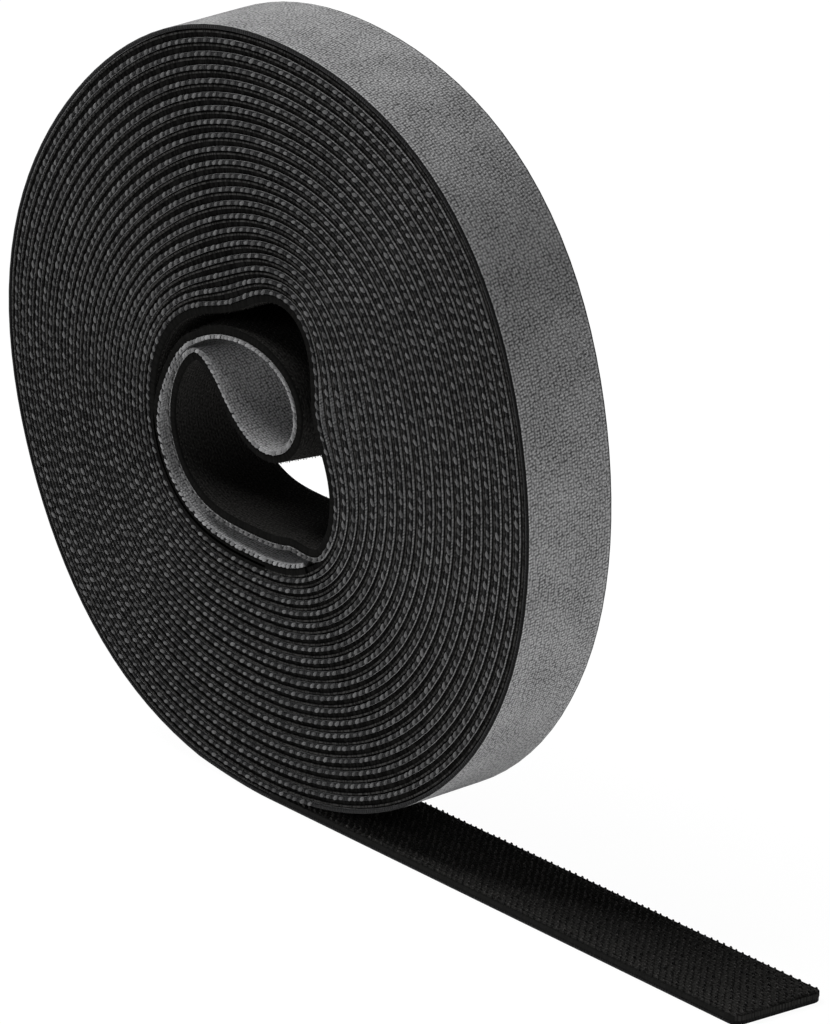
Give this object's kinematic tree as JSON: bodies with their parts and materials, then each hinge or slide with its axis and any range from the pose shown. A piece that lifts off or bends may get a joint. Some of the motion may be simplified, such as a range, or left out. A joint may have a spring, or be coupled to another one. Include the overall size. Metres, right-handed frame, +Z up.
{
  "type": "hook and loop tape roll",
  "caption": "Hand-wound roll of back-to-back hook and loop tape: a folded inner end in its bore and a flat free tail that lifts and wraps back onto the roll.",
  "frame": {"origin": "on the floor under the roll's axis, at mid width, on the tape's flat underside", "axes": "+X along the tail, +Y along the roll's axis, +Z up"},
  "size_m": [0.1595, 0.015, 0.1136],
  "materials": {
    "loop_web": "matte woven loop pile",
    "hook_web": "satin nylon hooks"
  },
  "bodies": {
    "roll": {"roll_loop_web": "loop_web", "roll_hook_web": "hook_web", "inner_end_loop_web": "loop_web", "inner_end_hook_web": "hook_web"},
    "fold": {"fold_loop_web": "loop_web", "fold_hook_web": "hook_web"},
    "tail_1": {"tail_loop_web_1": "loop_web", "tail_hook_web_1": "hook_web"},
    "tail_2": {"tail_loop_web_2": "loop_web", "tail_hook_web_2": "hook_web"},
    "tail_3": {"tail_loop_web_3": "loop_web", "tail_hook_web_3": "hook_web"},
    "tail_4": {"tail_loop_web_4": "loop_web", "tail_hook_web_4": "hook_web"},
    "tail_5": {"tail_loop_web_5": "loop_web", "tail_hook_web_5": "hook_web"},
    "tail_6": {"tail_loop_web_6": "loop_web", "tail_hook_web_6": "hook_web"}
  },
  "joints": [
    {"name": "fold_flex", "type": "hinge", "parent": "roll", "child": "fold", "pos_m": [-0.01482, 0, 0.06473], "axis": [0, -1, 0], "range_deg": [-12, 12]},
    {"name": "tail_bend_1", "type": "hinge", "parent": "roll", "child": "tail_1", "pos_m": [0.01, 0, 0.00065], "axis": [0, -1, 0], "range_deg": [0, 10]},
    {"name": "tail_bend_2", "type": "hinge", "parent": "tail_1", "child": "tail_2", "pos_m": [0.025, 0, 0.00065], "axis": [0, -1, 0], "range_deg": [0, 16]},
    {"name": "tail_bend_3", "type": "hinge", "parent": "tail_2", "child": "tail_3", "pos_m": [0.04, 0, 0.00065], "axis": [0, -1, 0], "range_deg": [0, 16]},
    {"name": "tail_bend_4", "type": "hinge", "parent": "tail_3", "child": "tail_4", "pos_m": [0.055, 0, 0.00065], "axis": [0, -1, 0], "range_deg": [0, 16]},
    {"name": "tail_bend_5", "type": "hinge", "parent": "tail_4", "child": "tail_5", "pos_m": [0.07, 0, 0.00065], "axis": [0, -1, 0], "range_deg": [0, 16]},
    {"name": "tail_bend_6", "type": "hinge", "parent": "tail_5", "child": "tail_6", "pos_m": [0.085, 0, 0.00065], "axis": [0, -1, 0], "range_deg": [0, 16]}
  ]
}
